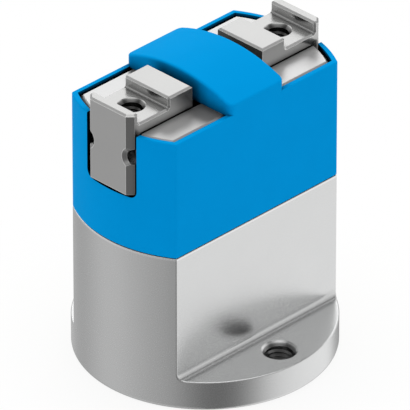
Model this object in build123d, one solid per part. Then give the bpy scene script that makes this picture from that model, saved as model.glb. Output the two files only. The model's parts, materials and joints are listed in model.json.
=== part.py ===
from build123d import *
import os

os.makedirs("parts", exist_ok=True)

# A small gripper with two parallel jaws on a round flanged body.
# Z is up, the jaws slide along X, the two flats face front (-Y) and rear (+Y).
# The origin is the centre of the base. The jaws are shown closed, the piston is up.

# Cuts run past the faces they open by this much, and heights nearer than this count as one
past = 1.0
same = 0.01

# Outside form, the same for the body and the cap
outer_radius = 20.0
flat_width = 21.6
flange_height = 5.0
base_edge_round = 0.7
body_edge_round = 0.25
seam_edge_round = 0.2
flat_root_round = 1.0

# Flange holes for the mounting screws and the locating pins
flange_hole_radius = 2.1
flange_hole_sink_radius = 2.75
flange_hole_spacing = 31.0
pin_hole_radius = 1.5
pin_hole_depth = 4.0
pin_hole_spacing = 30.0

# Cylinder bore and its end cover, stacked up from the base
bore_radius = 9.0
ring_inset = 0.3
ring_thickness = 1.0
ring_groove_depth = 0.6
ring_width = 2.0
ring_lug_width = 2.6
ring_opening = 5.0
ring_hole_radius = 0.65
cover_thickness = 3.9
cover_recess_depth = 1.2
cover_recess_radius = 5.2
cover_seal_diameter = 1.2
bumper_thickness = 0.9
bumper_inner_radius = 4.2
bumper_outer_radius = 6.8
piston_height = 7.0
piston_stroke = 5.0
end_gap = 0.05
throat_height = 1.0
rod_seal_height = 2.0
rod_seal_lip = 0.6
bush_height = 3.9
bush_radius = 4.7
bush_chamfer = 0.2

# Piston and rod
piston_clearance = 0.05
static_fit = 0.02
rod_radius = 3.0
rod_clearance = 0.04
rod_hole_clearance = 0.2
rod_seat_depth = 2.5
rod_stud_radius = 1.6
rod_stud_length = 2.4
rod_edge_chamfer = 0.3
piston_seal_height = 1.8
piston_seal_depth = 1.6
piston_seal_chamfer = 0.3
piston_band_height = 1.4
piston_band_depth = 0.8
piston_groove_spacing = 3.2
piston_edge_chamfer = 0.5
piston_screw_radius = 1.5
piston_screw_length = 7.0
piston_screw_head_radius = 2.7
piston_screw_head_height = 2.0
piston_screw_head_gap = 0.15

# Air ports on the hidden +X side
port_radius = 2.1
port_sink_radius = 2.6
port_depth = 5.5
passage_radius = 0.8
passage_inset = 0.1
port_offset = 1.0

# Guide housing under the cap
cap_wall = 0.8
cap_gap = 0.3
pocket_floor = 1.2
pocket_side_gap = 0.3
driver_base_gap = 0.1
housing_edge_chamfer = 0.45
guided_height = 9.9
slot_side_gap = 0.2
jaw_floor_gap = 0.1

# Wedge driver with a sloped T-slot on each side
wedge_slope = 0.4
wedge_half = 3.9
wedge_width = 6.4
wedge_top_gap = 0.7
foot_height = 3.0
hook_neck_width = 2.2
hook_neck_depth = 1.2
hook_head_width = 4.2
hook_head_depth = 1.4
hook_clearance = 0.07
wedge_edge_chamfer = 0.3

# Jaws
jaw_inner = 7.3
jaw_length = 12.8
jaw_width = 9.2
jaw_rise = 3.6
jaw_strip = 1.75
jaw_groove_length = 6.2
jaw_groove_depth = 1.8
jaw_groove_round = 0.35
jaw_end_chamfer = 0.95
jaw_edge_chamfer = 0.3
jaw_step_gap = 0.2
jaw_hole_radius = 1.65
jaw_hole_sink_radius = 2.15
jaw_hole_depth = 8.0

# Guide rods, half in the jaws and half in the housing
guide_rod_radius = 1.25
guide_rod_depth = 3.5
guide_rod_clearance = 0.05
guide_rod_chamfer = 0.2
guide_rod_end_gap = 0.15
guide_sink = 0.55

# Cap with its arched bridge
cap_seam_gap = 0.18
cap_corner_round = 0.4
rim_step = 0.2
rim_edge_round = 0.2
bridge_half = 5.65
bridge_rise = 4.1
bridge_end_rise = 1.9
bridge_corner_round = 1.0
bridge_edge_round = 0.4
bridge_wall = 1.2
cap_slot_gap = 0.5
cap_slot_round = 1.2
snap_length = 8.0
snap_height = 1.0
snap_offset = 3.0
snap_bite = 0.25
snap_clearance = 0.05

# Screws and dowels between the body and the housing
housing_screw_x = 13.2
housing_screw_y = 5.6
housing_screw_radius = 1.5
housing_screw_bite = 5.5
housing_screw_head_radius = 2.7
housing_screw_head_height = 2.8
housing_screw_inset = 0.5
screw_hole_clearance = 0.2
screw_socket_width = 2.5
screw_socket_depth = 1.3
screw_head_chamfer = 0.25
dowel_x = 8.5
dowel_radius = 1.25
dowel_in_body = 4.0
dowel_in_housing = 3.5
dowel_chamfer = 0.25
hole_end_gap = 0.3

# Heights that follow from the stack
flat_half = flat_width / 2
cover_bottom = ring_inset + ring_thickness
chamber_bottom = cover_bottom + cover_thickness
piston_low = chamber_bottom + bumper_thickness + end_gap
piston_bottom = piston_low + piston_stroke
piston_top = piston_bottom + piston_height
chamber_top = piston_top + end_gap + bumper_thickness
seal_seat = chamber_top + throat_height
bush_bottom = seal_seat + rod_seal_height
seam = bush_bottom + bush_height
pocket_bottom = seam + pocket_floor
driver_bottom = pocket_bottom + driver_base_gap + piston_stroke
slot_floor = driver_bottom + foot_height
jaw_bottom = slot_floor + jaw_floor_gap
plate_top = jaw_bottom + guided_height
rim = plate_top + rim_step
jaw_top = plate_top + jaw_rise
bridge_top = plate_top + bridge_rise
driver_top = plate_top - wedge_top_gap
guide_height = plate_top - guide_rod_depth

# Places and sizes that follow from a fit
jaw_outer = jaw_inner + jaw_length
jaw_travel = piston_stroke * wedge_slope
jaw_half = jaw_width / 2
slot_half = jaw_half + slot_side_gap
guide_y = jaw_half + slot_side_gap / 2
wedge_y = wedge_width / 2
housing_radius = outer_radius - cap_wall - cap_gap
housing_half = flat_half - cap_wall - cap_gap
cap_slot_half = jaw_half + cap_slot_gap
rod_hole_radius = rod_radius + rod_hole_clearance
arch_drop = bridge_rise - bridge_end_rise
bridge_radius = (flat_half ** 2 + arch_drop ** 2) / (2 * arch_drop)
piston_radius = bore_radius - piston_clearance


def cylinder(x, y, bottom, top, radius):
    return Pos(x, y, (bottom + top) / 2) * Cylinder(radius, top - bottom)


def ring(bottom, top, inner, outer):
    return cylinder(0, 0, bottom, top, outer) - cylinder(0, 0, bottom, top, inner)


def cone(x, y, bottom, top, low_radius, high_radius):
    return Pos(x, y, (bottom + top) / 2) * Cone(low_radius, high_radius, top - bottom)


def block(x0, x1, y0, y1, z0, z1):
    return Pos((x0 + x1) / 2, (y0 + y1) / 2, (z0 + z1) / 2) * Box(x1 - x0, y1 - y0, z1 - z0)


def outline(radius, half, bottom, top):
    # A round bar with two flats
    face = Circle(radius) & Rectangle(2 * radius, 2 * half)
    return extrude(Pos(0, 0, bottom) * face, amount=top - bottom)


def side_profile(points, half):
    # An outline in the XZ plane, drawn out to both sides along Y
    return extrude(Plane.XZ * Polygon(*points, align=None), amount=half, both=True)


def edges_at(part, height):
    return part.edges().filter_by(lambda e: abs(e.bounding_box().min.Z - height) < same
                                  and abs(e.bounding_box().max.Z - height) < same)


def outer_edges(part, height, inside):
    # The edges at one height whose middle lies at or past the inside radius
    def far(edge):
        middle = edge @ 0.5
        return middle.X ** 2 + middle.Y ** 2 > inside ** 2
    return edges_at(part, height).filter_by(far)


def four_corners(x, y):
    return [(sx * x, sy * y) for sx in (-1, 1) for sy in (-1, 1)]


# Body: flanged round bar with two flats, bored from below
def flat_cutter(side):
    reach = outer_radius + past
    cut = block(-reach, reach, flat_half, reach, flange_height, seam + past)
    root = cut.edges().filter_by(Axis.X).sort_by(lambda e: e.center().Y + e.center().Z)[0]
    cut = fillet(root, flat_root_round)
    return cut if side > 0 else mirror(cut, Plane.XZ)


def is_flat_edge(edge):
    # Where the flats cut the outer cylinder: ear rims, root curves and upright edges in one chain
    middle = edge @ 0.5
    across = (middle.X ** 2 + middle.Y ** 2) ** 0.5
    return abs(across - outer_radius) < same and flange_height - same < middle.Z < seam - same


def body_shell():
    body = cylinder(0, 0, 0, seam, outer_radius)
    body = fillet(edges_at(body, 0), base_edge_round)
    body -= flat_cutter(1)
    body -= flat_cutter(-1)
    body = fillet(body.edges().filter_by(is_flat_edge), body_edge_round)
    return fillet(outer_edges(body, seam, flat_half - same), seam_edge_round)


def air_port(height, passage_height):
    start = outer_radius - port_depth
    port = Pos(start, 0, height) * Rot(0, 90, 0) * Cylinder(
        port_radius, port_depth + past, align=(Align.CENTER, Align.CENTER, Align.MIN))
    sink_depth = port_sink_radius - port_radius
    sink = Pos(outer_radius - sink_depth, 0, height) * Rot(0, 90, 0) * Cone(
        port_radius, port_sink_radius + past, sink_depth + past,
        align=(Align.CENTER, Align.CENTER, Align.MIN))
    passage = Pos(bore_radius - past, 0, passage_height) * Rot(0, 90, 0) * Cylinder(
        passage_radius, start - bore_radius + 2 * past, align=(Align.CENTER, Align.CENTER, Align.MIN))
    return port + sink + passage


def make_body():
    body = body_shell()
    body -= cylinder(0, 0, -past, chamber_top, bore_radius)
    body -= cylinder(0, 0, ring_inset, cover_bottom, bore_radius + ring_groove_depth)
    body -= cylinder(0, 0, chamber_top - past, seal_seat + past, rod_hole_radius)
    body -= cylinder(0, 0, seal_seat, seam + past, bush_radius)
    sink = flange_hole_sink_radius - flange_hole_radius
    for side in (-1, 1):
        y = side * flange_hole_spacing / 2
        body -= cylinder(0, y, -past, flange_height + past, flange_hole_radius)
        body -= cone(0, y, flange_height - sink, flange_height + past,
                     flange_hole_radius, flange_hole_sink_radius + past)
        body -= cone(0, y, -past, sink, flange_hole_sink_radius + past, flange_hole_radius)
        body -= cylinder(side * pin_hole_spacing / 2, 0, -past, pin_hole_depth, pin_hole_radius)
        body -= cylinder(side * dowel_x, 0, seam - dowel_in_body - hole_end_gap, seam + past, dowel_radius)
    for x, y in four_corners(housing_screw_x, housing_screw_y):
        head_top = housing_screw_inset + housing_screw_head_height
        body -= cylinder(x, y, -past, seam + past, housing_screw_radius + screw_hole_clearance)
        body -= cylinder(x, y, -past, head_top, housing_screw_head_radius + screw_hole_clearance)
    low = chamber_bottom + passage_inset + passage_radius
    high = chamber_top - passage_inset - passage_radius
    body -= air_port(low + port_offset, low)
    body -= air_port(high - port_offset, high)
    return body


# Guide housing: a block inside the cap with the slot that the jaws slide in
def make_guide_housing():
    part = outline(housing_radius, housing_half, seam, plate_top)
    part = chamfer(edges_at(part, plate_top), housing_edge_chamfer)
    reach = outer_radius + past
    part -= block(-reach, reach, -slot_half, slot_half, slot_floor, plate_top + past)
    pocket_x = wedge_half + wedge_slope * piston_stroke + pocket_side_gap
    pocket_y = wedge_y + pocket_side_gap
    part -= block(-pocket_x, pocket_x, -pocket_y, pocket_y, pocket_bottom, slot_floor + past)
    part -= cylinder(0, 0, seam - past, pocket_bottom + past, rod_hole_radius)
    rod_seat = guide_rod_radius + static_fit
    snap_x = snap_length / 2 + snap_clearance
    snap_low = seam + snap_offset - snap_clearance
    snap_high = seam + snap_offset + snap_height + snap_clearance
    snap_floor = housing_half - snap_bite - snap_clearance
    for side in (-1, 1):
        part -= Pos(0, side * guide_y, guide_height) * Rot(0, 90, 0) * Cylinder(rod_seat, 2 * reach)
        part -= cylinder(side * dowel_x, 0, seam - past, seam + dowel_in_housing + hole_end_gap, dowel_radius)
        y0, y1 = sorted((side * snap_floor, side * (housing_half + past)))
        part -= block(-snap_x, snap_x, y0, y1, snap_low, snap_high)
    for x, y in four_corners(housing_screw_x, housing_screw_y):
        part -= cylinder(x, y, seam - past, seam + housing_screw_bite + hole_end_gap, housing_screw_radius)
    return part


def make_guide_rod(side):
    # The rod ends stop short of the cap's end walls
    inner = outer_radius - cap_wall
    far_y = guide_y + guide_rod_radius
    half = (inner ** 2 - far_y ** 2) ** 0.5 - guide_rod_end_gap
    rod = Pos(0, side * guide_y, guide_height) * Rot(0, 90, 0) * Cylinder(guide_rod_radius, 2 * half)
    return chamfer(rod.edges().filter_by(GeomType.CIRCLE), guide_rod_chamfer)


# The sloped contact line between driver and jaw, and shapes that follow it
def slope_x(height):
    return wedge_half + wedge_slope * (height - slot_floor)


def sloped_bar(near, far, half, bottom, top):
    # A bar along the slope, between two offsets measured inward from the contact line
    points = [(slope_x(bottom) - near, bottom), (slope_x(bottom) - far, bottom),
              (slope_x(top) - far, top), (slope_x(top) - near, top)]
    return side_profile(points, half)


def make_wedge_driver():
    low = slope_x(slot_floor) - hook_clearance
    high = slope_x(driver_top) - hook_clearance
    points = [(-low, driver_bottom), (low, driver_bottom), (low, slot_floor), (high, driver_top),
              (-high, driver_top), (-low, slot_floor)]
    part = side_profile(points, wedge_y)
    part = chamfer(edges_at(part, driver_top).filter_by(Axis.Y), wedge_edge_chamfer)
    c = hook_clearance
    neck = sloped_bar(-past, hook_neck_depth, hook_neck_width / 2 + c, slot_floor, driver_top + past)
    head = sloped_bar(hook_neck_depth - c, hook_neck_depth + hook_head_depth + c,
                      hook_head_width / 2 + c, slot_floor, driver_top + past)
    part -= neck + head
    part -= mirror(neck + head, Plane.YZ)
    stud_hole_top = driver_bottom + rod_stud_length + hole_end_gap
    return part - cylinder(0, 0, driver_bottom - past, stud_hole_top, rod_stud_radius)


# Jaw, modelled on the +X side and turned half round for the other one
def is_finger_edge(edge):
    # The edges round the faces that a finger sits on: at the top, and down the sides of the groove
    middle = edge @ 0.5
    at_top = abs(middle.Z - jaw_top) < same
    at_groove = (abs(abs(middle.Y) - jaw_half) < same and middle.Z > jaw_top - jaw_groove_depth - same
                 and jaw_inner + same < middle.X < jaw_outer - same)
    return at_top or at_groove


def jaw_block():
    step = plate_top - jaw_step_gap
    groove_floor = jaw_top - jaw_groove_depth
    strip_x = jaw_outer - jaw_strip
    inner_x = strip_x - jaw_groove_length
    points = [(slope_x(jaw_bottom), jaw_bottom), (jaw_outer, jaw_bottom), (jaw_outer, jaw_top),
              (strip_x, jaw_top), (strip_x, groove_floor), (inner_x, groove_floor), (inner_x, jaw_top),
              (jaw_inner, jaw_top), (jaw_inner, step), (slope_x(step), step)]
    part = side_profile(points, jaw_half)
    part = fillet(edges_at(part, groove_floor).filter_by(Axis.Y), jaw_groove_round)
    ends = part.edges().filter_by(Axis.Z).filter_by(lambda e: e.center().X > jaw_outer - same)
    part = chamfer(ends, jaw_end_chamfer)
    return chamfer(part.edges().filter_by(is_finger_edge), jaw_edge_chamfer)


def make_jaw():
    part = jaw_block()
    step = plate_top - jaw_step_gap
    groove_floor = jaw_top - jaw_groove_depth
    part += sloped_bar(0, hook_neck_depth, hook_neck_width / 2, jaw_bottom, step)
    part += sloped_bar(hook_neck_depth, hook_neck_depth + hook_head_depth,
                       hook_head_width / 2, jaw_bottom, step)
    hole_x = jaw_outer - jaw_strip - jaw_groove_length / 2
    sink = jaw_hole_sink_radius - jaw_hole_radius
    part -= cylinder(hole_x, 0, groove_floor - jaw_hole_depth, groove_floor + past, jaw_hole_radius)
    part -= cone(hole_x, 0, groove_floor - sink, groove_floor + past,
                 jaw_hole_radius, jaw_hole_sink_radius + past)
    groove_radius = guide_rod_radius + guide_rod_clearance
    for side in (-1, 1):
        at = Pos(0, side * guide_y, guide_height)
        part -= at * Rot(0, 90, 0) * Cylinder(groove_radius, 2 * (outer_radius + past))
        part -= at * Pos(jaw_outer - guide_sink, 0, 0) * Rot(0, 90, 0) * Cone(
            groove_radius, groove_radius + guide_sink + past, guide_sink + past,
            align=(Align.CENTER, Align.CENTER, Align.MIN))
    return part


# Cap: thin walls round the housing, open slots at the ends, an arched bridge
def arch_block(half_x, half_y, bottom, top, radius):
    arch = Pos(0, 0, top - radius) * Rot(0, 90, 0) * Cylinder(radius, 2 * half_x)
    return arch & block(-half_x, half_x, -half_y, half_y, bottom, top + past)


def make_bridge():
    bridge = arch_block(bridge_half, flat_half, plate_top, bridge_top, bridge_radius)
    bridge = fillet(bridge.edges().filter_by(Axis.Z), bridge_corner_round)
    tops = bridge.edges().filter_by(lambda e: e.bounding_box().min.Z > plate_top + same)
    return fillet(tops, bridge_edge_round)


def end_slot():
    slot = block(jaw_inner, outer_radius + past, -cap_slot_half, cap_slot_half,
                 jaw_bottom - cap_slot_gap, rim + past)
    low = slot.edges().filter_by(Axis.X).sort_by(Axis.Z)[0:2]
    return fillet(low, cap_slot_round)


def make_cap():
    cap = outline(outer_radius, flat_half, seam + cap_seam_gap, rim)
    cap = fillet(cap.edges().filter_by(Axis.Z), cap_corner_round)
    cap = fillet(outer_edges(cap, rim, flat_half - same), rim_edge_round)
    cap += make_bridge()
    inner_radius = outer_radius - cap_wall
    inner_half = flat_half - cap_wall
    cap -= outline(inner_radius, inner_half, seam - past, plate_top)
    recess = outline(inner_radius, inner_half, plate_top - past, rim + past)
    cap -= recess - block(-bridge_half, bridge_half, -flat_half, flat_half, plate_top - past, rim + past)
    cap -= arch_block(bridge_half - bridge_wall, inner_half - bridge_wall, plate_top - past,
                      bridge_top - bridge_wall, bridge_radius - bridge_wall)
    cap -= end_slot()
    cap -= mirror(end_slot(), Plane.YZ)
    snap_low = seam + snap_offset
    for side in (-1, 1):
        y0, y1 = sorted((side * (housing_half - snap_bite), side * (inner_half + cap_wall / 2)))
        cap += block(-snap_length / 2, snap_length / 2, y0, y1, snap_low, snap_low + snap_height)
    return cap


# Moving parts of the cylinder
def make_piston():
    part = cylinder(0, 0, piston_bottom, piston_top, piston_radius)
    ends = edges_at(part, piston_bottom) + edges_at(part, piston_top)
    part = chamfer(ends, piston_edge_chamfer)
    middle = (piston_bottom + piston_top) / 2
    low, high = middle - piston_groove_spacing / 2, middle + piston_groove_spacing / 2
    part -= ring(low - piston_seal_height / 2, low + piston_seal_height / 2,
                 piston_radius - piston_seal_depth, piston_radius + past)
    part -= ring(high - piston_band_height / 2, high + piston_band_height / 2,
                 piston_radius - piston_band_depth, piston_radius + past)
    part -= cylinder(0, 0, piston_top - rod_seat_depth, piston_top + past, rod_radius + static_fit)
    part -= cylinder(0, 0, piston_bottom - past, piston_top, piston_screw_radius + screw_hole_clearance)
    head_top = piston_bottom + piston_screw_head_height + piston_screw_head_gap
    head_radius = piston_screw_head_radius + screw_hole_clearance
    return part - cylinder(0, 0, piston_bottom - past, head_top, head_radius)


def make_piston_seal():
    middle = (piston_bottom + piston_top) / 2 - piston_groove_spacing / 2
    half = piston_seal_height / 2 - static_fit
    part = ring(middle - half, middle + half, piston_radius - piston_seal_depth + static_fit, piston_radius)
    return chamfer(part.edges().filter_by(GeomType.CIRCLE), piston_seal_chamfer)


def make_piston_band():
    middle = (piston_bottom + piston_top) / 2 + piston_groove_spacing / 2
    half = piston_band_height / 2 - static_fit
    return ring(middle - half, middle + half, piston_radius - piston_band_depth + static_fit, piston_radius)


def make_piston_rod():
    part = cylinder(0, 0, piston_top - rod_seat_depth, driver_bottom, rod_radius)
    part = chamfer(edges_at(part, driver_bottom), rod_edge_chamfer)
    part += cylinder(0, 0, driver_bottom, driver_bottom + rod_stud_length, rod_stud_radius - static_fit)
    bottom = piston_top - rod_seat_depth
    tip = piston_bottom + piston_screw_head_height + piston_screw_head_gap + piston_screw_length
    return part - cylinder(0, 0, bottom - past, tip + hole_end_gap, piston_screw_radius)


def socket_head_screw(head_height, head_radius, length, radius, socket_width, socket_depth):
    # Head below, shank up, seen from the base; the head's underside is at height 0
    screw = cylinder(0, 0, -head_height, 0, head_radius) + cylinder(0, 0, -head_height, length, radius)
    screw = chamfer(edges_at(screw, -head_height), screw_head_chamfer)
    hexagon = RegularPolygon(socket_width / 2, 6, major_radius=False)
    socket = extrude(Pos(0, 0, -head_height - past) * hexagon, amount=past + socket_depth)
    return screw - socket


def make_piston_screw():
    screw = socket_head_screw(piston_screw_head_height, piston_screw_head_radius, piston_screw_length,
                              piston_screw_radius - static_fit, screw_socket_width, screw_socket_depth)
    return Pos(0, 0, piston_bottom + piston_screw_head_height + piston_screw_head_gap) * screw


# Fixed parts of the cylinder
def make_rod_bush():
    part = ring(bush_bottom, seam, rod_radius + rod_clearance, bush_radius)
    return chamfer(edges_at(part, seam), bush_chamfer)


def make_rod_seal():
    part = ring(seal_seat, bush_bottom, rod_radius + rod_clearance, bush_radius - static_fit)
    groove = ring(seal_seat - past, seal_seat + rod_seal_height / 2,
                  rod_radius + rod_clearance + rod_seal_lip, bush_radius - static_fit - rod_seal_lip)
    return part - groove


def make_bumper(bottom):
    return ring(bottom, bottom + bumper_thickness, bumper_inner_radius, bumper_outer_radius)


def make_end_cover():
    part = cylinder(0, 0, cover_bottom, chamber_bottom, bore_radius - static_fit)
    middle = (cover_bottom + chamber_bottom) / 2
    half = cover_seal_diameter / 2
    part -= ring(middle - half, middle + half, bore_radius - cover_seal_diameter, bore_radius + past)
    return part - cylinder(0, 0, cover_bottom - past, cover_bottom + cover_recess_depth, cover_recess_radius)


def make_end_cover_seal():
    # A round cord squeezed by its groove, drawn with eight faces round the section
    middle = (cover_bottom + chamber_bottom) / 2
    section = RegularPolygon(cover_seal_diameter / 2 - static_fit, 8)
    centre = bore_radius - cover_seal_diameter / 2
    return revolve(Plane.XZ * Pos(centre, middle) * section, Axis.Z)


def make_retaining_ring():
    # An open spring ring with two lugs that face the gap
    outer = bore_radius + ring_groove_depth - static_fit
    part = ring(ring_inset, cover_bottom, outer - ring_width, outer)
    lug_y = -(outer - ring_width)
    lugs = block(-ring_opening / 2 - ring_lug_width, ring_opening / 2 + ring_lug_width,
                 lug_y - ring_width / 2, lug_y + ring_lug_width / 2, ring_inset, cover_bottom)
    part += lugs & cylinder(0, 0, ring_inset, cover_bottom, outer)
    part -= block(-ring_opening / 2, ring_opening / 2, -outer - past, 0,
                  ring_inset - past, cover_bottom + past)
    for side in (-1, 1):
        x = side * (ring_opening + ring_lug_width) / 2
        part -= cylinder(x, lug_y, ring_inset - past, cover_bottom + past, ring_hole_radius)
    return part


# Groups of equal fasteners, one node each
def make_housing_screws():
    head_top = housing_screw_inset + housing_screw_head_height
    length = seam + housing_screw_bite - head_top
    screw = socket_head_screw(housing_screw_head_height, housing_screw_head_radius, length,
                              housing_screw_radius - static_fit, screw_socket_width, screw_socket_depth)
    return Compound(children=[Pos(x, y, head_top) * screw
                              for x, y in four_corners(housing_screw_x, housing_screw_y)])


def make_dowel_pins():
    pins = []
    for side in (-1, 1):
        pin = cylinder(side * dowel_x, 0, seam - dowel_in_body, seam + dowel_in_housing,
                       dowel_radius - static_fit)
        pins.append(chamfer(pin.edges().filter_by(GeomType.CIRCLE), dowel_chamfer))
    return Compound(children=pins)


jaw_right = make_jaw()
parts = {
    "body": make_body(),
    "cap": make_cap(),
    "guide_housing": make_guide_housing(),
    "guide_rod_front": make_guide_rod(-1),
    "guide_rod_rear": make_guide_rod(1),
    "jaw_left": Rot(0, 0, 180) * jaw_right,
    "jaw_right": jaw_right,
    "wedge_driver": make_wedge_driver(),
    "piston_rod": make_piston_rod(),
    "piston": make_piston(),
    "piston_screw": make_piston_screw(),
    "piston_seal": make_piston_seal(),
    "piston_guide_ring": make_piston_band(),
    "rod_bush": make_rod_bush(),
    "rod_seal": make_rod_seal(),
    "upper_bumper": make_bumper(chamber_top - bumper_thickness),
    "lower_bumper": make_bumper(chamber_bottom),
    "end_cover": make_end_cover(),
    "end_cover_seal": make_end_cover_seal(),
    "retaining_ring": make_retaining_ring(),
    "housing_screws": make_housing_screws(),
    "dowel_pins": make_dowel_pins(),
}

for name, part in parts.items():
    export_step(part, f"parts/{name}.step")
print("jaw travel", jaw_travel, "seam", seam, "plate", plate_top, "rim", rim, "jaw top", jaw_top)
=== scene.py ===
import json
import math

import bpy
from mathutils import Matrix, Vector


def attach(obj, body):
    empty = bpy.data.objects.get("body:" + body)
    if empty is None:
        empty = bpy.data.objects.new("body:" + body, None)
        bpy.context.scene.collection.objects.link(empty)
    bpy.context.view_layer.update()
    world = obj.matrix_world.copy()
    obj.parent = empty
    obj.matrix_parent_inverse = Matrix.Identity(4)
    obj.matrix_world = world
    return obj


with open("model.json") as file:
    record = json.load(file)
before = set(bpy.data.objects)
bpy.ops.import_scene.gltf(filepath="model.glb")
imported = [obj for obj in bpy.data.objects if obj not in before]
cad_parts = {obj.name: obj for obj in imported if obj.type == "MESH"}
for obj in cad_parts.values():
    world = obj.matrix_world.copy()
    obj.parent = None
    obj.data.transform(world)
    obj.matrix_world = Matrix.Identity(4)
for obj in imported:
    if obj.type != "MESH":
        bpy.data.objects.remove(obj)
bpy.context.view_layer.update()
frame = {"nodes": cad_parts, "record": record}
nodes = frame["nodes"]
bpy.ops.object.select_all(action="DESELECT")
scene = bpy.context.scene
scene.view_settings.view_transform = "Standard"
MM = 0.001


# Camera
# The photograph is taken from the left front corner, about 31 degrees above the table, with a
# very long lens, so the upright edges stay parallel.
view_azimuth = math.radians(-45.29)
view_elevation = math.radians(31.32)
camera_distance = 1411.1 * MM
sensor_width = 36.0
frame_pixels = 410
focal_pixels = 9547.0
aim_height = 25.0 * MM
aim_right = 0.011 * MM
aim_up = 1.325 * MM
nearest_seen = 0.1
farthest_seen = 20.0

back = Vector((math.sin(view_azimuth) * math.cos(view_elevation),
               -math.cos(view_azimuth) * math.cos(view_elevation),
               math.sin(view_elevation)))
right = Vector((math.cos(view_azimuth), math.sin(view_azimuth), 0.0))
up = back.cross(right)
camera_data = bpy.data.cameras.new("camera")
camera_data.lens = focal_pixels * sensor_width / frame_pixels
camera_data.sensor_width = sensor_width
camera_data.clip_start = nearest_seen
camera_data.clip_end = farthest_seen
camera = bpy.data.objects.new("camera", camera_data)
scene.collection.objects.link(camera)
eye = back * camera_distance - right * aim_right - up * aim_up + Vector((0, 0, aim_height))
turn = Matrix((right, up, back)).transposed().to_4x4()
camera.matrix_world = Matrix.Translation(eye) @ turn
scene.camera = camera


# Studio
# A plain white room. Metal mirrors soft panels round it, pale to the right, dimmer to the left and
# dark on the photographer's side, and a ceiling with a dark edge. All else is lit softly from all
# round, a little more from behind.
def add_node(tree, kind, x, y, **values):
    # A node at its place in the tree. Each value is a setting of the node, or else fills a socket
    node = tree.nodes.new(kind)
    node.location = (x, y)
    for name, value in values.items():
        if hasattr(node, name):
            setattr(node, name, value)
        else:
            node.inputs[name].default_value = value
    return node


def map_range(tree, x, y, start=(0.0, 1.0), result=(0.0, 1.0), smooth=False):
    # Brings a value from its own range to another one, and holds it at both ends
    node = add_node(tree, "ShaderNodeMapRange", x, y)
    if smooth:
        node.interpolation_type = "SMOOTHSTEP"
    for name, value in zip(("From Min", "From Max", "To Min", "To Max"), (*start, *result)):
        node.inputs[name].default_value = value
    return node


def level_ramp(tree, x, y, stops):
    # A ramp of plain grey levels, each at its share of the way
    node = add_node(tree, "ShaderNodeValToRGB", x, y)
    ramp = node.color_ramp
    ramp.interpolation = "LINEAR"
    while len(ramp.elements) > 1:
        ramp.elements.remove(ramp.elements[-1])
    for i, (place, level) in enumerate(stops):
        element = ramp.elements[0] if i == 0 else ramp.elements.new(place)
        element.position = place
        element.color = (level, level, level, 1.0)
    return node


# Brightness of the room by the angle right of the photographer's side: the low part, which the
# upright faces mirror, and the high part, which the level faces mirror. The ceiling goes by
# height. Levels over 1 are divided by the gain in their ramps, and multiplied by it after them
low_panels = [(-180, 0.42), (-165, 0.58), (-146, 0.44), (-134, 0.39), (-118, 0.43), (-98, 0.53),
              (-80, 0.53), (-50, 0.42), (-30, 0.37), (-14, 0.25), (-2, 0.165), (10, 0.132),
              (22, 0.155), (33, 0.235), (46, 0.43), (58, 0.64), (72, 0.76), (94, 0.83),
              (132, 0.90), (148, 0.40), (156, 0.34), (168, 0.25), (180, 0.31)]
high_panels = [(-180, 1.48), (-150, 1.32), (-110, 0.80), (-90, 0.66), (-45, 0.50), (0, 0.38),
               (45, 0.45), (90, 0.60), (120, 0.84), (150, 1.32), (180, 1.48)]
ceiling = [(0.72, 0.10), (0.79, 0.14), (0.84, 0.95), (0.90, 1.15), (0.96, 1.0), (1.0, 0.95)]
high_gain = 1.6
# Heights, as the rise of a direction, between which one part of the room goes over into the next
low_to_high = (0.12, 0.42)
high_to_ceiling = (0.58, 0.66)
soft_light_behind = (1.72, 1.72, 1.52, 1.0)
soft_light_before = (0.68, 0.68, 0.77, 1.0)
background_white = (1.0, 1.0, 1.0, 1.0)

world = bpy.data.worlds.new("studio")
scene.world = world
world.use_nodes = True
world.cycles.sampling_method = "NONE"
tree = world.node_tree
tree.nodes.clear()
direction = add_node(tree, "ShaderNodeTexCoord", -1400, 0)
turned = add_node(tree, "ShaderNodeVectorRotate", -1200, 0, rotation_type="Z_AXIS",
                  Angle=math.pi / 2 - view_azimuth)
parts = add_node(tree, "ShaderNodeSeparateXYZ", -1000, 0)
angle = add_node(tree, "ShaderNodeMath", -800, 100, operation="ARCTAN2")
share = map_range(tree, -600, 100, start=(-math.pi, math.pi))
low_stops = [((degrees + 180) / 360, level) for degrees, level in low_panels]
high_stops = [((degrees + 180) / 360, level / high_gain) for degrees, level in high_panels]
top_stops = [(rise, level / high_gain) for rise, level in ceiling]
low_room = level_ramp(tree, -400, 100, low_stops)
high_room = level_ramp(tree, -400, -150, high_stops)
top_room = level_ramp(tree, -400, -600, top_stops)
brighter = add_node(tree, "ShaderNodeVectorMath", -100, -150, operation="SCALE", Scale=high_gain)
height = map_range(tree, -600, -200, start=low_to_high, smooth=True)
ceiling_edge = map_range(tree, -600, -400, start=high_to_ceiling, smooth=True)
upper_room = add_node(tree, "ShaderNodeMix", -250, -150, data_type="RGBA")
seen_by_metal = add_node(tree, "ShaderNodeMix", 100, 0, data_type="RGBA")
to_camera = map_range(tree, -600, 350, start=(-1.0, 1.0))
soft_light = add_node(tree, "ShaderNodeMix", -400, 350, data_type="RGBA",
                      A=soft_light_behind, B=soft_light_before)
rays = add_node(tree, "ShaderNodeLightPath", -400, 500)
metal_or_not = add_node(tree, "ShaderNodeMix", 150, 200, data_type="RGBA")
camera_or_not = add_node(tree, "ShaderNodeMix", 350, 300, data_type="RGBA", B=background_white)
glow = add_node(tree, "ShaderNodeBackground", 550, 300)
room = add_node(tree, "ShaderNodeOutputWorld", 750, 300)
links = tree.links
links.new(direction.outputs["Generated"], turned.inputs["Vector"])
links.new(turned.outputs["Vector"], parts.inputs["Vector"])
links.new(parts.outputs["Y"], angle.inputs[0])
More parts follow.
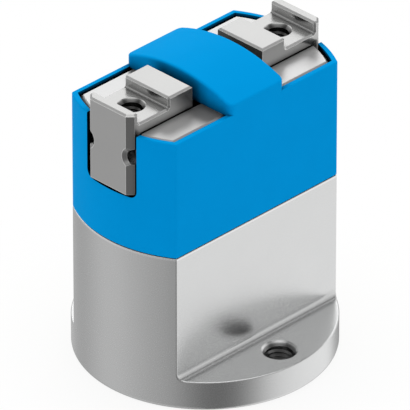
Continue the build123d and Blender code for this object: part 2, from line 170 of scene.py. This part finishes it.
links.new(parts.outputs["X"], angle.inputs[1])
links.new(angle.outputs["Value"], share.inputs["Value"])
links.new(share.outputs["Result"], low_room.inputs["Fac"])
links.new(share.outputs["Result"], high_room.inputs["Fac"])
links.new(parts.outputs["Z"], ceiling_edge.inputs["Value"])
links.new(parts.outputs["Z"], top_room.inputs["Fac"])
links.new(ceiling_edge.outputs["Result"], upper_room.inputs["Factor"])
links.new(high_room.outputs["Color"], upper_room.inputs["A"])
links.new(top_room.outputs["Color"], upper_room.inputs["B"])
links.new(upper_room.outputs["Result"], brighter.inputs[0])
links.new(parts.outputs["X"], to_camera.inputs["Value"])
links.new(to_camera.outputs["Result"], soft_light.inputs["Factor"])
links.new(soft_light.outputs["Result"], metal_or_not.inputs["A"])
links.new(parts.outputs["Z"], height.inputs["Value"])
links.new(height.outputs["Result"], seen_by_metal.inputs["Factor"])
links.new(low_room.outputs["Color"], seen_by_metal.inputs["A"])
links.new(brighter.outputs["Vector"], seen_by_metal.inputs["B"])
links.new(rays.outputs["Is Glossy Ray"], metal_or_not.inputs["Factor"])
links.new(seen_by_metal.outputs["Result"], metal_or_not.inputs["B"])
links.new(rays.outputs["Is Camera Ray"], camera_or_not.inputs["Factor"])
links.new(metal_or_not.outputs["Result"], camera_or_not.inputs["A"])
links.new(camera_or_not.outputs["Result"], glow.inputs["Color"])
links.new(glow.outputs["Background"], room.inputs["Surface"])

# One wide lamp behind and above the object draws its faint shadow on the floor
lamp_size = 0.30
lamp_power = 0.06
lamp_place = Vector((0.14, 0.14, 0.30))
lamp_data = bpy.data.lights.new("overhead_lamp", "AREA")
lamp_data.shape = "SQUARE"
lamp_data.size = lamp_size
lamp_data.energy = lamp_power
lamp = bpy.data.objects.new("overhead_lamp", lamp_data)
lamp.visible_glossy = False
scene.collection.objects.link(lamp)
lamp.location = lamp_place
lamp.rotation_euler = lamp_place.to_track_quat("Z", "Y").to_euler()

# The floor is white in the picture and keeps only the shadow near the object, which fades out
# between two distances from the middle. Metal doesn't mirror it, and from below it is clear, so
# that the underside can be seen
floor_size = 6.0
floor_gap = 0.01 * MM
shadow_fades = (18.0 * MM, 45.0 * MM)
white_share = (0.88, 1.0)
floor_grey = (0.80, 0.80, 0.80, 1.0)
bpy.ops.mesh.primitive_plane_add(size=floor_size, location=(0, 0, -floor_gap))
floor = bpy.context.active_object
floor.name = "floor"
floor_paint = bpy.data.materials.new("floor_paint")
floor_paint.use_nodes = True
tree = floor_paint.node_tree
tree.nodes.clear()
rays = add_node(tree, "ShaderNodeLightPath", -600, 400)
where = add_node(tree, "ShaderNodeTexCoord", -900, 0)
reach = add_node(tree, "ShaderNodeVectorMath", -700, 0, operation="LENGTH")
fade = map_range(tree, -500, 0, start=shadow_fades, result=white_share, smooth=True)
paint = add_node(tree, "ShaderNodeBsdfDiffuse", -300, 100, Color=floor_grey)
white = add_node(tree, "ShaderNodeEmission", -300, -100)
picture = add_node(tree, "ShaderNodeMixShader", 0, 0)
plain = add_node(tree, "ShaderNodeMixShader", 200, 200)
clear = add_node(tree, "ShaderNodeBsdfTransparent", 0, -200)
mirror_ray = add_node(tree, "ShaderNodeMath", -200, 400, operation="MAXIMUM")
side_seen = add_node(tree, "ShaderNodeNewGeometry", -200, 600)
clear_ray = add_node(tree, "ShaderNodeMath", 0, 500, operation="MAXIMUM")
surface = add_node(tree, "ShaderNodeMixShader", 400, 100)
output = add_node(tree, "ShaderNodeOutputMaterial", 600, 100)
links = tree.links
links.new(where.outputs["Object"], reach.inputs[0])
links.new(reach.outputs["Value"], fade.inputs["Value"])
links.new(fade.outputs["Result"], picture.inputs["Fac"])
links.new(paint.outputs["BSDF"], picture.inputs[1])
links.new(white.outputs["Emission"], picture.inputs[2])
links.new(rays.outputs["Is Camera Ray"], plain.inputs["Fac"])
links.new(paint.outputs["BSDF"], plain.inputs[1])
links.new(picture.outputs["Shader"], plain.inputs[2])
links.new(rays.outputs["Is Glossy Ray"], mirror_ray.inputs[0])
links.new(rays.outputs["Is Transmission Ray"], mirror_ray.inputs[1])
links.new(mirror_ray.outputs["Value"], clear_ray.inputs[0])
links.new(side_seen.outputs["Backfacing"], clear_ray.inputs[1])
links.new(clear_ray.outputs["Value"], surface.inputs["Fac"])
links.new(plain.outputs["Shader"], surface.inputs[1])
links.new(clear.outputs["BSDF"], surface.inputs[2])
links.new(surface.outputs["Shader"], output.inputs["Surface"])
floor.data.materials.append(floor_paint)


# Body
# The flanged body is turned from an aluminium bar, two flats are milled on it, and it is clear
# anodised, which leaves a satin surface with faint tool marks.
NUMBER = "NodeSocketFloat"
VECTOR = "NodeSocketVector"
grain_scale = 9000.0
cloud_scale = 160.0
bump_depth = 0.004 * MM


def new_group(name, inputs, outputs):
    # An empty node group with named sockets, and the nodes at which they come in and go out
    group = bpy.data.node_groups.new(name, "ShaderNodeTree")
    for way, sockets in (("INPUT", inputs), ("OUTPUT", outputs)):
        for socket, kind in sockets.items():
            group.interface.new_socket(name=socket, in_out=way, socket_type=kind)
    start = add_node(group, "NodeGroupInput", -900, 0)
    end = add_node(group, "NodeGroupOutput", 600, 0)
    return group, start, end


def grain_group():
    # Fine even grain: a height for the bump and a slow cloud for the colour
    group, start, end = new_group("satin_grain", {"Vector": VECTOR, "Scale": NUMBER},
                                  {"Height": NUMBER, "Cloud": NUMBER})
    fine = add_node(group, "ShaderNodeTexNoise", -200, 100, Detail=2.0, Roughness=0.6)
    slow = add_node(group, "ShaderNodeTexNoise", -200, -200, Scale=cloud_scale, Detail=2.0)
    links = group.links
    links.new(start.outputs["Vector"], fine.inputs["Vector"])
    links.new(start.outputs["Scale"], fine.inputs["Scale"])
    links.new(start.outputs["Vector"], slow.inputs["Vector"])
    links.new(fine.outputs["Fac"], end.inputs["Height"])
    links.new(slow.outputs["Fac"], end.inputs["Cloud"])
    return group


def streak_group():
    # Tool marks: noise drawn out along one way by the stretch that it is given
    group, start, end = new_group("tool_marks", {"Vector": VECTOR, "Stretch": VECTOR},
                                  {"Height": NUMBER})
    drawn = add_node(group, "ShaderNodeVectorMath", -350, 0, operation="MULTIPLY")
    marks = add_node(group, "ShaderNodeTexNoise", -100, 0, Scale=1.0, Detail=3.0, Roughness=0.65)
    links = group.links
    links.new(start.outputs["Vector"], drawn.inputs[0])
    links.new(start.outputs["Stretch"], drawn.inputs[1])
    links.new(drawn.outputs["Vector"], marks.inputs["Vector"])
    links.new(marks.outputs["Fac"], end.inputs["Height"])
    return group


def crevice_group(name, own_only):
    # Painted shade in narrow gaps and inner corners, by the open share of the surroundings: 1 on
    # open faces, near 0 in a gap. Dark is the open share of the surroundings at which it is quite
    # dark. Own only leaves out what other pieces and the floor cover
    group, start, end = new_group(name, {"Reach": NUMBER, "Dark": NUMBER, "Power": NUMBER},
                                  {"Shade": NUMBER})
    near = add_node(group, "ShaderNodeAmbientOcclusion", -400, 0, samples=12, only_local=own_only)
    open_share = map_range(group, -150, 0)
    deep = add_node(group, "ShaderNodeMath", 200, 0, operation="POWER")
    links = group.links
    links.new(start.outputs["Reach"], near.inputs["Distance"])
    links.new(near.outputs["AO"], open_share.inputs["Value"])
    links.new(start.outputs["Dark"], open_share.inputs["From Min"])
    links.new(open_share.outputs["Result"], deep.inputs[0])
    links.new(start.outputs["Power"], deep.inputs[1])
    links.new(deep.outputs["Value"], end.inputs["Shade"])
    return group


def edge_highlight_group():
    # A painted highlight on the lower side of sharp outer edges, and a weaker one on the narrow
    # chamfers: 0 on flat faces, on the upper side of an edge and in corners
    flat_to_edge = (0.999, 0.985)       # cosine between the real normal and the rounded one
    corner_to_open = (0.75, 0.95)       # open share of the surroundings
    upper_to_lower = (0.76, 0.62)       # rise of the rounded normal
    chamfer_rise = math.cos(math.radians(45))
    chamfer_spread = 0.1
    chamfer_share = 0.3
    group, start, end = new_group("painted_highlight_edge", {"Width": NUMBER}, {"Edge": NUMBER})
    rounded = add_node(group, "ShaderNodeBevel", -700, 0, samples=8)
    real = add_node(group, "ShaderNodeNewGeometry", -700, -200)
    same_way = add_node(group, "ShaderNodeVectorMath", -450, 0, operation="DOT_PRODUCT")
    turned_off = map_range(group, -250, 0, start=flat_to_edge)
    near = add_node(group, "ShaderNodeAmbientOcclusion", -250, -250, samples=8)
    open_side = map_range(group, 0, -250, start=corner_to_open)
    edge = add_node(group, "ShaderNodeMath", 200, 0, operation="MULTIPLY")
    leaning = add_node(group, "ShaderNodeSeparateXYZ", -450, 250)
    low_side = map_range(group, -250, 250, start=upper_to_lower)
    low_edge = add_node(group, "ShaderNodeMath", 250, 100, operation="MULTIPLY")
    real_parts = add_node(group, "ShaderNodeSeparateXYZ", -450, -450)
    rise = add_node(group, "ShaderNodeMath", -250, -450, operation="ABSOLUTE")
    chamfer = add_node(group, "ShaderNodeMath", 0, -450, operation="COMPARE")
    chamfer.inputs[1].default_value = chamfer_rise
    chamfer.inputs[2].default_value = chamfer_spread
    little = add_node(group, "ShaderNodeMath", 150, -450, operation="MULTIPLY")
    little.inputs[1].default_value = chamfer_share
    either = add_node(group, "ShaderNodeMath", 300, -200, operation="MAXIMUM")
    links = group.links
    links.new(start.outputs["Width"], rounded.inputs["Radius"])
    links.new(start.outputs["Width"], near.inputs["Distance"])
    links.new(rounded.outputs["Normal"], same_way.inputs[0])
    links.new(real.outputs["True Normal"], same_way.inputs[1])
    links.new(same_way.outputs["Value"], turned_off.inputs["Value"])
    links.new(near.outputs["AO"], open_side.inputs["Value"])
    links.new(turned_off.outputs["Result"], edge.inputs[0])
    links.new(open_side.outputs["Result"], edge.inputs[1])
    links.new(rounded.outputs["Normal"], leaning.inputs["Vector"])
    links.new(leaning.outputs["Z"], low_side.inputs["Value"])
    links.new(edge.outputs["Value"], low_edge.inputs[0])
    links.new(low_side.outputs["Result"], low_edge.inputs[1])
    links.new(real.outputs["True Normal"], real_parts.inputs["Vector"])
    links.new(real_parts.outputs["Z"], rise.inputs[0])
    links.new(rise.outputs["Value"], chamfer.inputs[0])
    links.new(chamfer.outputs["Value"], little.inputs[0])
    links.new(low_edge.outputs["Value"], either.inputs[0])
    links.new(little.outputs["Value"], either.inputs[1])
    links.new(either.outputs["Value"], end.inputs["Edge"])
    return group


def hole_group():
    # Painted shade: the wall of a tapped hole is painted darker with depth, 1 outside the hole, a
    # quarter deep in it
    deepest_shade = 0.25
    group, start, end = new_group(
        "hole_shade", {"Vector": VECTOR, "Mouth": VECTOR, "Axis": VECTOR, "Radius": NUMBER,
                       "Depth": NUMBER, "Length": NUMBER}, {"Shade": NUMBER})
    offset = add_node(group, "ShaderNodeVectorMath", -700, 0, operation="SUBTRACT")
    along = add_node(group, "ShaderNodeVectorMath", -500, -150, operation="DOT_PRODUCT")
    cross = add_node(group, "ShaderNodeVectorMath", -500, 150, operation="CROSS_PRODUCT")
    away = add_node(group, "ShaderNodeVectorMath", -300, 150, operation="LENGTH")
    inside = add_node(group, "ShaderNodeMath", -100, 150, operation="LESS_THAN")
    depth = add_node(group, "ShaderNodeMath", -300, -300, operation="MULTIPLY")
    depth.inputs[1].default_value = -1.0
    ends = add_node(group, "ShaderNodeMath", -100, -350, operation="LESS_THAN")
    wall = add_node(group, "ShaderNodeMath", 100, 50, operation="MULTIPLY")
    fall = map_range(group, -100, -150, result=(1.0, deepest_shade), smooth=True)
    shade = add_node(group, "ShaderNodeMix", 300, 0, data_type="FLOAT", A=1.0)
    links = group.links
    links.new(start.outputs["Vector"], offset.inputs[0])
    links.new(start.outputs["Mouth"], offset.inputs[1])
    links.new(offset.outputs["Vector"], along.inputs[0])
    links.new(start.outputs["Axis"], along.inputs[1])
    links.new(offset.outputs["Vector"], cross.inputs[0])
    links.new(start.outputs["Axis"], cross.inputs[1])
    links.new(cross.outputs["Vector"], away.inputs[0])
    links.new(away.outputs["Value"], inside.inputs[0])
    links.new(start.outputs["Radius"], inside.inputs[1])
    links.new(along.outputs["Value"], depth.inputs[0])
    links.new(depth.outputs["Value"], fall.inputs["Value"])
    links.new(start.outputs["Depth"], fall.inputs["From Max"])
    links.new(depth.outputs["Value"], ends.inputs[0])
    links.new(start.outputs["Length"], ends.inputs[1])
    links.new(inside.outputs["Value"], wall.inputs[0])
    links.new(ends.outputs["Value"], wall.inputs[1])
    links.new(wall.outputs["Value"], shade.inputs["Factor"])
    links.new(fall.outputs["Result"], shade.inputs["B"])
    links.new(shade.outputs["Result"], end.inputs["Shade"])
    return group


satin_grain = grain_group()
tool_marks = streak_group()
crevice_painted_shade = crevice_group("crevice_painted_shade", False)
own_crevice_painted_shade = crevice_group("own_crevice_painted_shade", True)
painted_highlight_edge = edge_highlight_group()
hole_shade = hole_group()


def clouded(tree, colour, tint, cloud, x, y):
    # The colour, a little darker and paler in turn where the cloud says so
    mix = add_node(tree, "ShaderNodeMix", x, y, data_type="RGBA",
                   A=(*[c * (1 - tint) for c in colour], 1.0),
                   B=(*[min(1.0, c * (1 + tint)) for c in colour], 1.0))
    tree.links.new(cloud, mix.inputs["Factor"])
    return mix.outputs["Result"]


def shaded(tree, colour, kind, reach, dark, power, x, y, holes=(), where=None):
    # Darkens a colour with painted shade in crevices, and in the listed holes: mouth, way out,
    # radius, depth at which the wall is dark, and length. Gives the colour and the shade
    crevice = add_node(tree, "ShaderNodeGroup", x, y - 200, node_tree=kind,
                       Reach=reach, Dark=dark, Power=power)
    shade = crevice.outputs["Shade"]
    for mouth, axis, radius, depth, length in holes:
        hole = add_node(tree, "ShaderNodeGroup", x, y - 400, node_tree=hole_shade,
                        Mouth=mouth, Axis=axis, Radius=radius, Depth=depth, Length=length)
        both = add_node(tree, "ShaderNodeMath", x + 150, y - 300, operation="MULTIPLY")
        tree.links.new(where, hole.inputs["Vector"])
        tree.links.new(shade, both.inputs[0])
        tree.links.new(hole.outputs["Shade"], both.inputs[1])
        shade = both.outputs["Value"]
    darker = add_node(tree, "ShaderNodeVectorMath", x + 300, y, operation="SCALE")
    tree.links.new(colour, darker.inputs[0])
    tree.links.new(shade, darker.inputs["Scale"])
    return darker.outputs["Vector"], shade


def machined_metal(name, colour, roughness, stretch, marks=0.5, spread=0.03, tint=0.02,
                   grain_depth=0.12, painted_shade_kind=crevice_painted_shade, painted_shade_reach=2.0 * MM,
                   painted_shade_power=1.0, holes=(), edge_highlight_width=0.0, rim_height=0.0, rim_width=0.0,
                   bright_gain=1.0):
    # Metal with a satin grain, tool marks along the short side of the stretch, and a slight cloud.
    # Painted shade darkens its crevices and listed holes, and a painted highlight brightens its
    # edges, or else the rim below a height, by the gain
    material = bpy.data.materials.new(name)
    material.use_nodes = True
    tree = material.node_tree
    shader = tree.nodes["Principled BSDF"]
    shader.inputs["Metallic"].default_value = 1.0
    place = add_node(tree, "ShaderNodeTexCoord", -1300, 0)
    grain = add_node(tree, "ShaderNodeGroup", -1000, 100, node_tree=satin_grain, Scale=grain_scale)
    lines = add_node(tree, "ShaderNodeGroup", -1000, -200, node_tree=tool_marks, Stretch=stretch)
    height = add_node(tree, "ShaderNodeMix", -700, -100, data_type="FLOAT", Factor=marks)
    bump = add_node(tree, "ShaderNodeBump", -400, -200, Strength=grain_depth, Distance=bump_depth)
    sheen = map_range(tree, -700, 300, result=(roughness - spread, roughness + spread))
    links = tree.links
    links.new(place.outputs["Object"], grain.inputs["Vector"])
    links.new(place.outputs["Object"], lines.inputs["Vector"])
    links.new(grain.outputs["Height"], height.inputs["A"])
    links.new(lines.outputs["Height"], height.inputs["B"])
    links.new(height.outputs["Result"], bump.inputs["Height"])
    links.new(bump.outputs["Normal"], shader.inputs["Normal"])
    links.new(height.outputs["Result"], sheen.inputs["Value"])
    links.new(sheen.outputs["Result"], shader.inputs["Roughness"])
    paler = clouded(tree, colour, tint, grain.outputs["Cloud"], -400, 500)
    base, open_share = shaded(tree, paler, painted_shade_kind, painted_shade_reach, 0.0, painted_shade_power,
                              -150, 500, holes, place.outputs["Object"])
    bright = None
    if edge_highlight_width:
        edge = add_node(tree, "ShaderNodeGroup", -150, 800, node_tree=painted_highlight_edge, Width=edge_highlight_width)
        painted_highlight_part = add_node(tree, "ShaderNodeMath", 0, 950, operation="MULTIPLY")
        links.new(edge.outputs["Edge"], painted_highlight_part.inputs[0])
        links.new(open_share, painted_highlight_part.inputs[1])
        bright = painted_highlight_part.outputs["Value"]
    if rim_height:
        parts = add_node(tree, "ShaderNodeSeparateXYZ", -300, 1000)
        rim = map_range(tree, -150, 1000, smooth=True,
                        start=(rim_height - rim_width, rim_height - rim_width / 2))
        links.new(place.outputs["Object"], parts.inputs["Vector"])
        links.new(parts.outputs["Z"], rim.inputs["Value"])
        bright = rim.outputs["Result"]
    if bright:
        gain = map_range(tree, 50, 800, result=(1.0, bright_gain))
        painted_highlight = add_node(tree, "ShaderNodeVectorMath", 250, 700, operation="SCALE")
        links.new(bright, gain.inputs["Value"])
        links.new(base, painted_highlight.inputs[0])
        links.new(gain.outputs["Result"], painted_highlight.inputs["Scale"])
        base = painted_highlight.outputs["Vector"]
    links.new(base, shader.inputs["Base Color"])
    return material


def mount_named(name):
    return next(m for m in frame["record"]["mounts"] if m["name"] == name)


def dress(node, material):
    mesh = nodes[node].data
    mesh.materials.clear()
    mesh.materials.append(material)


# The stretch of the tool marks has its large number across them. Each tapped hole gets painted
# shade from its mouth down, inside a radius a little wider than its thread, and is painted dark
# from the depth given
turned_rings = (40.0, 40.0, 9000.0)
aluminium = (0.82, 0.825, 0.825)
flange_top = 5.0 * MM
seam_height = 26.0 * MM
seam_rim = 0.45 * MM
tapped_radius = 2.5 * MM
flange_hole_dark = 0.5 * MM
flange_hole_length = 4.8 * MM
port_mouth = 19.6 * MM
port_dark = 3.5 * MM
port_length = 8.0 * MM
flange_holes = mount_named("flange_holes")["dims"]
half_spacing = flange_holes["spacing_y_mm"] / 2 * MM
flange_hole_places = (("front", -half_spacing), ("rear", half_spacing))
body_holes = []
for _, y in flange_hole_places:
    body_holes.append(((0, y, flange_top), (0, 0, 1), tapped_radius, flange_hole_dark,
                       flange_hole_length))
for level in ("lower", "upper"):
    port_height = mount_named(f"air_port_{level}")["pos_m"][2]
    body_holes.append(((port_mouth, 0, port_height), (1, 0, 0), tapped_radius, port_dark,
                       port_length))
# The body gets painted shade in its own crevices and tapped holes, and a painted highlight on the
# rim just below the seam
body_metal = machined_metal("body_aluminium", aluminium, 0.27, turned_rings, marks=0.1,
                            spread=0.015, grain_depth=0.02, painted_shade_kind=own_crevice_painted_shade,
                            painted_shade_reach=1.6 * MM, painted_shade_power=0.9, holes=body_holes,
                            rim_height=seam_height, rim_width=seam_rim, bright_gain=1.2)
dress("body", body_metal)


# Cap
# The cap is moulded in blue plastic with a smooth, slightly glossy skin. It is one piece with the
# arched bridge and snaps over the guide housing.
def moulded_skin(name, colour, roughness, spread, tint, grain, grain_depth):
    # A moulded surface: a fine grain in its height and sheen, and slow clouds in its colour. Gives
    # the material, and the colour for more work on it
    material = bpy.data.materials.new(name)
    material.use_nodes = True
    tree = material.node_tree
    shader = tree.nodes["Principled BSDF"]
    place = add_node(tree, "ShaderNodeTexCoord", -1100, 0)
    skin = add_node(tree, "ShaderNodeGroup", -850, 0, node_tree=satin_grain, Scale=grain)
    bump = add_node(tree, "ShaderNodeBump", -300, -200, Strength=grain_depth, Distance=bump_depth)
    sheen = map_range(tree, -550, 200, result=(roughness - spread, roughness + spread))
    links = tree.links
    links.new(place.outputs["Object"], skin.inputs["Vector"])
    links.new(skin.outputs["Height"], bump.inputs["Height"])
    links.new(bump.outputs["Normal"], shader.inputs["Normal"])
    links.new(skin.outputs["Height"], sheen.inputs["Value"])
    links.new(sheen.outputs["Result"], shader.inputs["Roughness"])
    base = clouded(tree, colour, tint, skin.outputs["Cloud"], -300, 400)
    links.new(base, shader.inputs["Base Color"])
    return material, base


cap_blue = (0.0, 0.272, 0.66)
cap_painted_reflection = (0.115, 0.12, 0.125, 1.0)
cap_specular = 0.003
cap_plastic, cap_base = moulded_skin("cap_plastic", cap_blue, roughness=0.39, spread=0.05,
                                     tint=0.03, grain=5000.0, grain_depth=0.1)
tree = cap_plastic.node_tree
shader = tree.nodes["Principled BSDF"]
shader.inputs["Specular IOR Level"].default_value = cap_specular
# Painted shade darkens the cap in its gaps and inner corners
cap_base, _ = shaded(tree, cap_base, crevice_painted_shade, reach=2.5 * MM, dark=0.33, power=0.9,
                     x=-100, y=500)
# Painted reflection: the cap shows a dull grey to mirror rays, so the satin metal beside it mirrors
# hardly any of its blue
rays = add_node(tree, "ShaderNodeLightPath", 200, 800)
painted_reflection = add_node(tree, "ShaderNodeMix", 400, 500, data_type="RGBA", B=cap_painted_reflection)
tree.links.new(rays.outputs["Is Glossy Ray"], painted_reflection.inputs["Factor"])
tree.links.new(cap_base, painted_reflection.inputs["A"])
tree.links.new(painted_reflection.outputs["Result"], shader.inputs["Base Color"])
dress("cap", cap_plastic)


# Guide housing
# A ground aluminium block under the cap, screwed to the body from below. Its flat top shows on
# both sides of each jaw.
ground_along_x = (150.0, 9000.0, 150.0)
ground_aluminium = (0.79, 0.79, 0.79)
# The housing gets painted shade in its crevices
housing_metal = machined_metal("housing_aluminium", ground_aluminium, 0.34, ground_along_x,
                               painted_shade_reach=1.5 * MM, painted_shade_power=0.8)
dress("guide_housing", housing_metal)


# Jaws
# The two jaws are hardened steel, ground on all faces. A finger bolts to the threaded hole and
# its key sits in the cross groove.
ground_steel = (0.57, 0.57, 0.565)
groove_floor = 47.4 * MM
jaw_hole_radius = 2.05 * MM
jaw_hole_dark = 0.75 * MM
jaw_hole_length = 8.6 * MM
jaw_holes = []
for side in ("left", "right"):
    x, y, _ = mount_named(f"jaw_{side}_thread")["pos_m"]
    jaw_holes.append(((x, y, groove_floor), (0, 0, 1), jaw_hole_radius, jaw_hole_dark,
                      jaw_hole_length))
# The jaws get painted shade in their crevices and tapped holes, and a painted highlight on their
# edges
jaw_steel = machined_metal("jaw_steel", ground_steel, 0.24, ground_along_x,
                           painted_shade_reach=1.2 * MM, holes=jaw_holes, edge_highlight_width=0.18 * MM,
                           bright_gain=1.75)
dress("jaw_left", jaw_steel)
dress("jaw_right", jaw_steel)

jaw_pitch = 0.7 * MM
thread_depth = 0.24 * MM
thread_seat = 0.03 * MM
thread_steps = 48
half_ridge = 0.44
smooth_angle = math.radians(25)


def thread_turns(name, place, axis, radius, pitch, length):
    # The thread's ridge: a three sided profile, a little sunk in the wall of a hole and turned up
    # along it
    bpy.ops.mesh.primitive_circle_add(vertices=3, radius=radius, fill_type="NOTHING")
    ridge = bpy.context.active_object
    ridge.name = name
    seated = radius + thread_seat
    half = half_ridge * pitch
    corners = ((seated, -half), (seated, half), (radius - thread_depth, 0.0))
    for vertex, (out, rise) in zip(ridge.data.vertices, corners):
        vertex.co = (out, 0.0, rise)
    turns = ridge.modifiers.new("turns", "SCREW")
    turns.axis = "Z"
    turns.screw_offset = pitch
    turns.iterations = max(1, int((length - pitch) / pitch))
    turns.steps = thread_steps
    turns.render_steps = thread_steps
    turns.use_smooth_shade = False
    bpy.ops.object.modifier_apply(modifier=turns.name)
    bpy.ops.object.mode_set(mode="EDIT")
    bpy.ops.mesh.select_all(action="SELECT")
    bpy.ops.mesh.fill_holes(sides=3)
    bpy.ops.mesh.select_all(action="SELECT")
    bpy.ops.mesh.normals_make_consistent(inside=False)
    bpy.ops.object.mode_set(mode="OBJECT")
    bpy.ops.object.shade_smooth_by_angle(angle=smooth_angle)
    way = Vector(axis).to_track_quat("Z", "Y").to_matrix().to_4x4()
    ridge.data.transform(Matrix.Translation(Vector(place)) @ way)
    bpy.ops.object.select_all(action="DESELECT")
    return ridge


for side, body in (("left", "left_jaw"), ("right", "right_jaw")):
    hole = mount_named(f"jaw_{side}_thread")
    radius = hole["dims"]["r_mm"] * MM
    length = hole["dims"]["length_mm"] * MM
    low = Vector(hole["pos_m"]) - Vector((0, 0, length / 2 - jaw_pitch / 2))
    thread = thread_turns(f"jaw_{side}_thread_turns", low, (0, 0, 1), radius, jaw_pitch, length)
    thread.data.materials.append(jaw_steel)
    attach(thread, body)


# Threads of the body
# The two flange holes and the two air ports are tapped in the body's aluminium. The flange holes
# take a screw from below or let a smaller one through, and the ports take screwed fittings.
body_pitch = 0.8 * MM
flange_thread_start = 0.6 * MM
flange_thread_length = 4.4 * MM
flange_hole_radius = flange_holes["hole_r_mm"] * MM
for end, y in flange_hole_places:
    low = Vector((0, y, flange_thread_start))
    thread = thread_turns(f"flange_thread_{end}", low, (0, 0, 1), flange_hole_radius, body_pitch,
                          flange_thread_length)
    thread.data.materials.append(body_metal)
    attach(thread, "base")
for level in ("lower", "upper"):
    hole = mount_named(f"air_port_{level}")
    radius = hole["dims"]["r_mm"] * MM
    length = hole["dims"]["length_mm"] * MM
    inner = Vector(hole["pos_m"]) - Vector((length / 2 - body_pitch / 2, 0, 0))
    thread = thread_turns(f"port_thread_{level}", inner, (1, 0, 0), radius, body_pitch, length)
    thread.data.materials.append(body_metal)
    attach(thread, "base")


# Guide rods
# Hardened and polished pins, held between the cap's end walls. Their ends show at the bottom of
# the round recesses in the jaws.
polished_along_x = (150.0, 9000.0, 9000.0)
polished_steel = (0.62, 0.62, 0.63)
rod_steel = machined_metal("guide_rod_steel", polished_steel, 0.18, polished_along_x,
                           painted_shade_power=0.0)
dress("guide_rod_front", rod_steel)
dress("guide_rod_rear", rod_steel)


# Drive
# The steel wedge driver, the rod and the aluminium piston move together and pull the jaws apart.
# They are out of view.
driver_grey = (0.55, 0.55, 0.56)
piston_grey = (0.72, 0.73, 0.74)
# The driver and the piston get painted shade in their crevices, as the machined metals do by
# default
driver_steel = machined_metal("driver_steel", driver_grey, 0.30, ground_along_x)
dress("wedge_driver", driver_steel)
dress("piston_rod", rod_steel)
piston_metal = machined_metal("piston_aluminium", piston_grey, 0.34, turned_rings)
dress("piston", piston_metal)


# Fasteners and dowels
# Zinc plated socket screws hold the guide housing on the body and the piston on its rod. Two
# hardened dowels keep the housing in line.
plated_grain = (3000.0, 3000.0, 3000.0)
zinc_grey = (0.52, 0.53, 0.55)
# Painted shade darkens the screws' crevices
screw_steel = machined_metal("screw_steel", zinc_grey, 0.38, plated_grain)
dress("piston_screw", screw_steel)
dress("housing_screws", screw_steel)
dress("dowel_pins", rod_steel)


# End cover
# A turned aluminium disc closes the bore from below, over a sealing ring. A phosphated steel spring
# ring in the bore's groove holds it.
cover_grey = (0.74, 0.74, 0.75)
phosphate_grey = (0.12, 0.12, 0.125)
# The cover and the ring get painted shade in their crevices
cover_metal = machined_metal("cover_aluminium", cover_grey, 0.32, turned_rings)
dress("end_cover", cover_metal)
ring_steel = machined_metal("ring_steel", phosphate_grey, 0.45, plated_grain)
dress("retaining_ring", ring_steel)


# Bush
# The rod runs in a sintered bronze bush, set in the top of the body. It has an open, grainy
# surface.
sintered_grain = (6000.0, 6000.0, 6000.0)
bronze = (0.62, 0.45, 0.24)
# Painted shade darkens the bush's crevices
bush_bronze = machined_metal("bush_bronze", bronze, 0.42, sintered_grain, tint=0.08)
dress("rod_bush", bush_bronze)


# Seals, bumpers and bearing band
# Moulded rubber rings seal the piston, the rod and the cover and stop the piston at both ends. A
# machined plastic band guides the piston. All of it is inside the cylinder.
soft_finish = {"spread": 0.08, "tint": 0.15, "grain_depth": 0.4}
seal_black = (0.02, 0.02, 0.02)
bumper_black = (0.035, 0.035, 0.035)
band_cream = (0.70, 0.66, 0.56)
seal_rubber, _ = moulded_skin("seal_rubber", seal_black, 0.5, grain=4000.0, **soft_finish)
bumper_rubber, _ = moulded_skin("bumper_rubber", bumper_black, 0.65, grain=3000.0, **soft_finish)
band_plastic, _ = moulded_skin("band_plastic", band_cream, 0.5, grain=5000.0, **soft_finish)
for node in ("piston_seal", "rod_seal", "end_cover_seal"):
    dress(node, seal_rubber)
for node in ("upper_bumper", "lower_bumper"):
    dress(node, bumper_rubber)
dress("piston_guide_ring", band_plastic)
